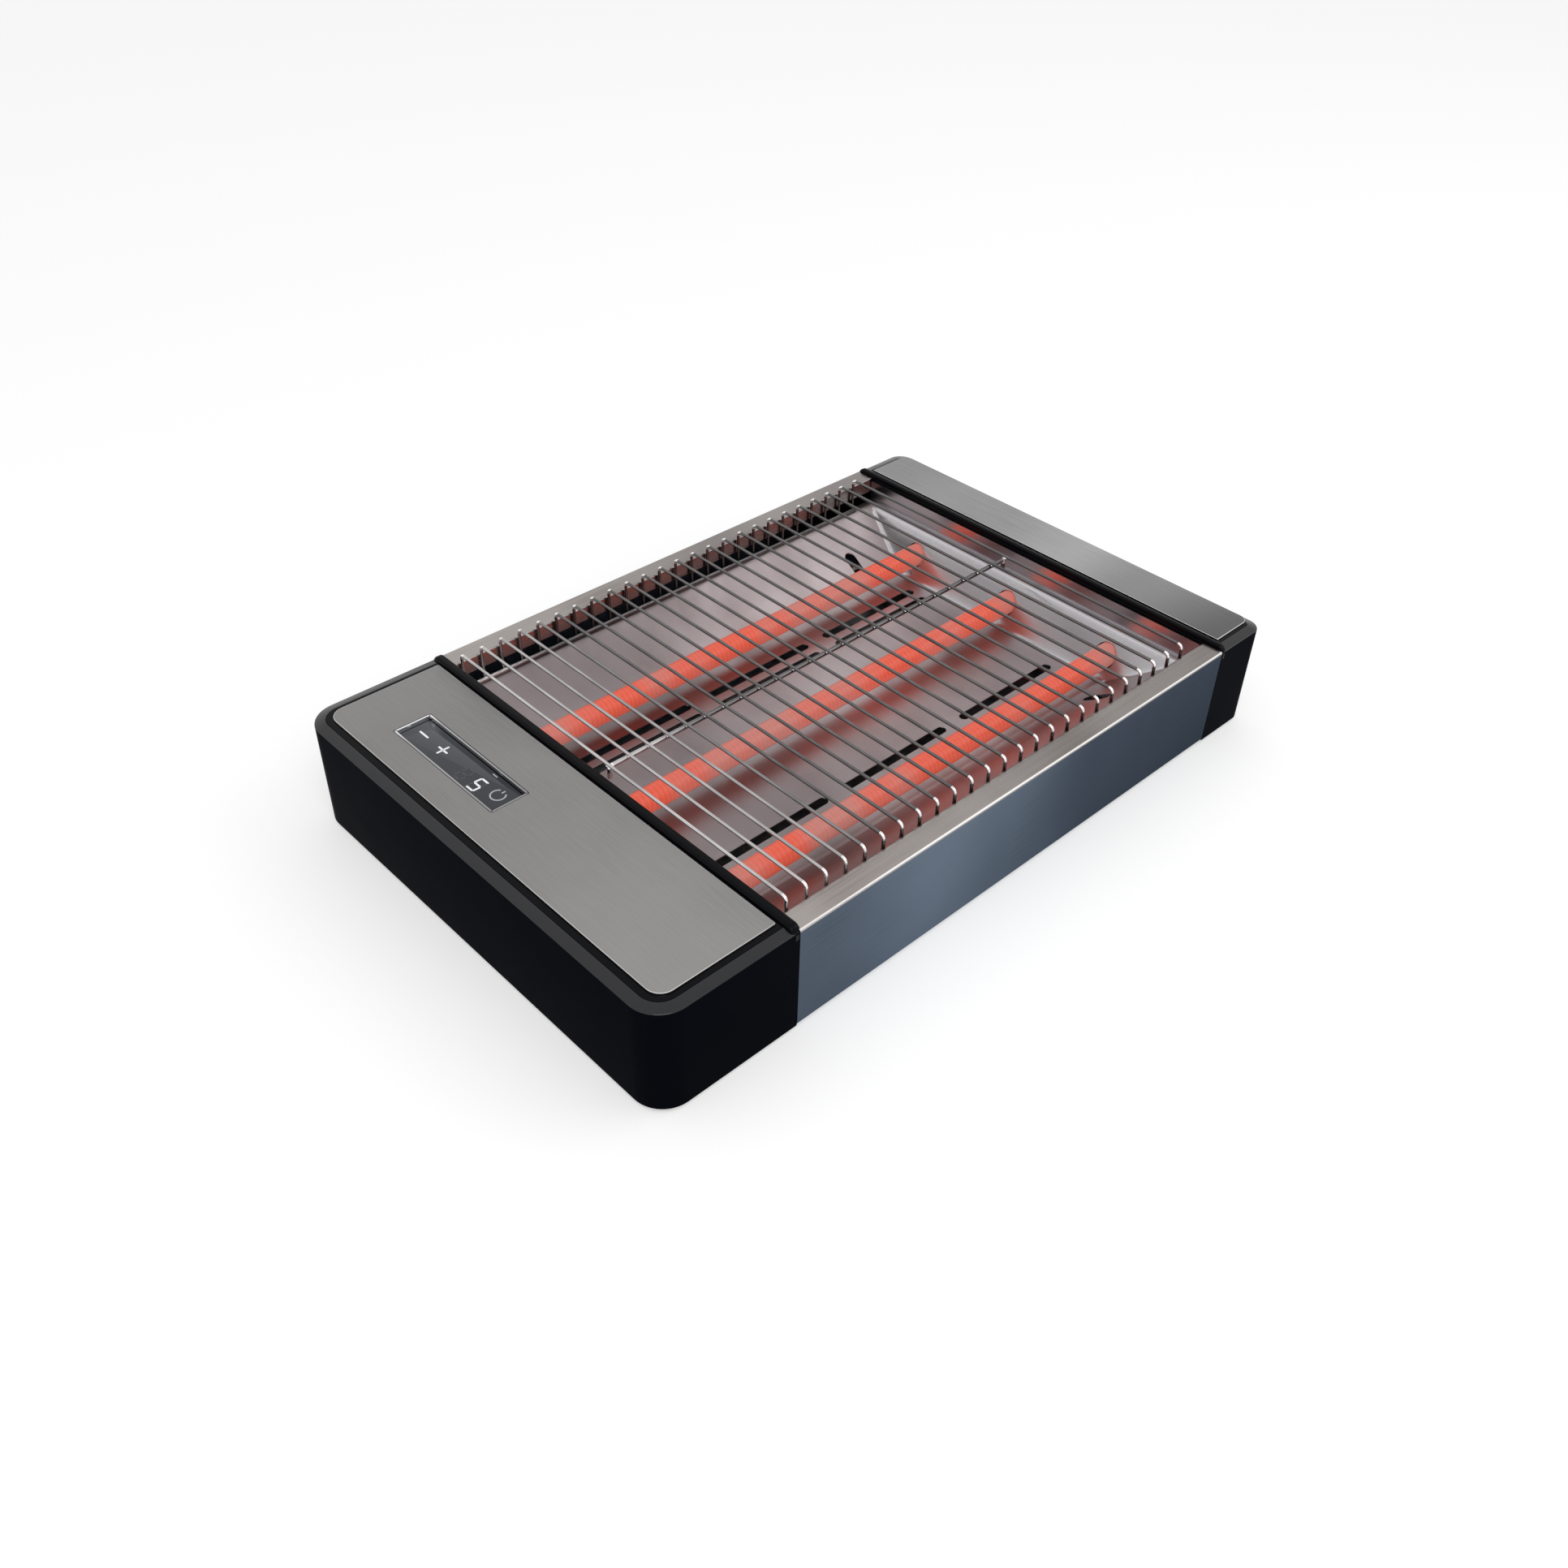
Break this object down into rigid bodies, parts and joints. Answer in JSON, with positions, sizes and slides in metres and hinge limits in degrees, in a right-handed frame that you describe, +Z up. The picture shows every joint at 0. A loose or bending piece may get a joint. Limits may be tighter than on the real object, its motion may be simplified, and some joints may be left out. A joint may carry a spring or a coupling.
{
  "type": "flat toaster",
  "caption": "Flat open toaster: bread lies on a wire rack over glowing quartz tubes, between two black end housings, one with a touch display. A crumb tray slides out of the back.",
  "frame": {"origin": "middle of the outline on the surface that the feet stand on", "axes": "+X along the toaster from the control end to the far end, +Y to the side that the crumb tray slides out of, +Z up"},
  "size_m": [0.395, 0.25, 0.0622],
  "materials": {
    "black_plastic": "satin black moulding",
    "black_matte": "matte black moulding",
    "brushed_steel": "brushed along its length",
    "polished_steel": "mirror polished",
    "chrome_wire": "bright plated wire",
    "zinc_steel": "zinc plated, dull",
    "hot_quartz": "glowing orange red",
    "resistance_wire": "hot wire",
    "white_ceramic": "unglazed white ceramic",
    "dark_glass": "smoked glass, polished",
    "circuit_board": "green board",
    "white_plastic": "off white",
    "blue_plastic": "blue case",
    "yellow_tape": "yellow wrapping",
    "black_rubber": "matte black rubber",
    "glass_sleeve": "woven heat-proof sleeve"
  },
  "bodies": {
    "body": {"control_housing": "black_plastic", "far_housing": "black_plastic", "control_base_cover": "black_matte", "far_base_cover": "black_matte", "control_plate": "brushed_steel", "far_plate": "brushed_steel", "front_side_panel": "brushed_steel", "rear_side_panel": "brushed_steel", "reflector_pan": "polished_steel", "control_end_strip": "polished_steel", "far_end_strip": "polished_steel", "display_bezel": "polished_steel", "wire_rack": "chrome_wire", "base_plate": "zinc_steel", "tray_guide_control": "zinc_steel", "tray_guide_far": "zinc_steel", "far_link_bar": "zinc_steel", "thermal_cutout": "zinc_steel", "control_cover_screw_1": "zinc_steel", "control_cover_screw_2": "zinc_steel", "control_cover_screw_3": "zinc_steel", "control_cover_screw_4": "zinc_steel", "far_cover_screw_1": "zinc_steel", "far_cover_screw_2": "zinc_steel", "quartz_tube_front": "hot_quartz", "quartz_tube_middle": "hot_quartz", "quartz_tube_rear": "hot_quartz", "heating_coil_front": "resistance_wire", "heating_coil_middle": "resistance_wire", "heating_coil_rear": "resistance_wire", "ceramic_holder_front_control": "white_ceramic", "ceramic_holder_front_far": "white_ceramic", "ceramic_holder_middle_control": "white_ceramic", "ceramic_holder_middle_far": "white_ceramic", "ceramic_holder_rear_control": "white_ceramic", "ceramic_holder_rear_far": "white_ceramic", "display_glass": "dark_glass", "display_board": "circuit_board", "power_board": "circuit_board", "digit_module": "white_plastic", "terminal_block": "white_plastic", "ribbon_cable": "white_plastic", "relay": "blue_plastic", "filter_capacitor": "yellow_tape", "transformer": "yellow_tape", "cord_inlet_bush": "black_rubber", "touch_pad_minus": "black_rubber", "touch_pad_plus": "black_rubber", "touch_pad_power": "black_rubber", "foot_control_front": "black_rubber", "foot_control_rear": "black_rubber", "foot_far_front": "black_rubber", "foot_far_rear": "black_rubber", "element_lead_front": "glass_sleeve", "element_lead_middle": "glass_sleeve", "element_lead_rear": "glass_sleeve", "return_lead": "glass_sleeve"},
    "tray": {"crumb_tray": "zinc_steel", "tray_front": "black_plastic"}
  },
  "joints": [
    {"name": "tray_slide", "type": "slide", "parent": "body", "child": "tray", "axis": [0, 1, 0], "range_m": [0, 0.2]}
  ]
}
